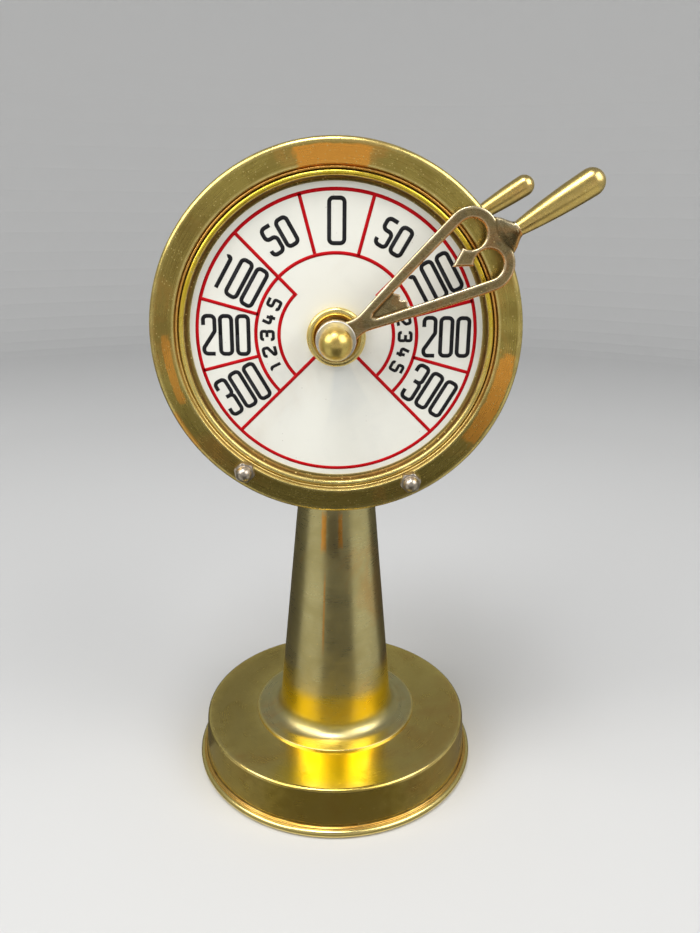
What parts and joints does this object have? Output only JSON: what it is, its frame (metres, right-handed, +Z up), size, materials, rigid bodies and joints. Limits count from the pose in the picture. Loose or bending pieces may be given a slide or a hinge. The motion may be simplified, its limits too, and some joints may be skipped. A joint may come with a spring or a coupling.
{
  "type": "engine order telegraph",
  "caption": "Desk-size ship's engine order telegraph: two-faced dial head with twin lever handles on a tapered brass column and weighted foot, with a bell striker inside.",
  "frame": {"origin": "middle of the underside of the foot, on the surface it stands on", "axes": "+Z up the column, -Y towards the front dial, +X to the right seen from the front"},
  "size_m": [0.1766, 0.1474, 0.3085],
  "materials": {
    "spun_brass": "aged polished spun brass, warm tarnish patches, fine wear",
    "cast_brass": "cast brass, brown in the hollows, bright along the edges",
    "turned_brass": "turned brass, polished",
    "dial_enamel": "off-white enamel, slightly glossy, faint smudges",
    "plated_steel": "dull nickel-plated steel",
    "plain_steel": "bright mild steel",
    "spring_steel": "blued spring steel",
    "frame_brass": "plain brass plate and casting",
    "bush_bronze": "bearing bronze",
    "bell_metal": "polished bell metal",
    "grey_iron": "rough grey cast iron",
    "felt": "dark green wool felt"
  },
  "bodies": {
    "stand": {"foot_pan": "spun_brass", "column": "spun_brass", "head_drum": "spun_brass", "front_bezel": "spun_brass", "rear_bezel": "spun_brass", "front_collar": "turned_brass", "rear_collar": "turned_brass", "front_dial": "dial_enamel", "rear_dial": "dial_enamel", "front_acorn_nuts": "plated_steel", "rear_acorn_nuts": "plated_steel", "tie_rod": "plain_steel", "foot_nut": "plain_steel", "foot_washer": "plain_steel", "yoke_nut": "plain_steel", "yoke_washer": "plain_steel", "gong_nuts": "plain_steel", "through_bolts": "plain_steel", "striker_stud": "plain_steel", "striker_spacer": "plain_steel", "stud_nut": "plain_steel", "foot_plate": "plain_steel", "front_collar_nut": "plain_steel", "rear_collar_nut": "plain_steel", "front_dial_clip": "spring_steel", "rear_dial_clip": "spring_steel", "striker_spring": "spring_steel", "bearing_yoke": "frame_brass", "head_saddle": "frame_brass", "front_bush": "bush_bronze", "rear_bush": "bush_bronze", "gong": "bell_metal", "foot_weight": "grey_iron", "foot_felt": "felt"},
    "lever_shaft": {"shaft": "plain_steel", "front_lever": "cast_brass", "rear_lever": "cast_brass", "front_handle": "turned_brass", "rear_handle": "turned_brass", "front_lever_washer": "plated_steel", "rear_lever_washer": "plated_steel", "front_ball_nut": "turned_brass", "rear_ball_nut": "turned_brass", "star_wheel": "plain_steel", "star_wheel_pin": "plain_steel", "thrust_collars": "plain_steel", "disc_spring": "spring_steel"},
    "striker": {"striker_arm": "plain_steel", "striker_hammer": "plain_steel"}
  },
  "joints": [
    {"name": "lever_turn", "type": "hinge", "parent": "stand", "child": "lever_shaft", "pos_m": [0, 0, 0.2325], "axis": [0, -1, 0], "range_deg": [-62, 178]},
    {"name": "striker_swing", "type": "hinge", "parent": "stand", "child": "striker", "pos_m": [0.024, 0, 0.2165], "axis": [0, -1, 0], "range_deg": [0, 12], "stiffness_Nm_per_rad": 0.01, "springref_deg": -8.59}
  ]
}
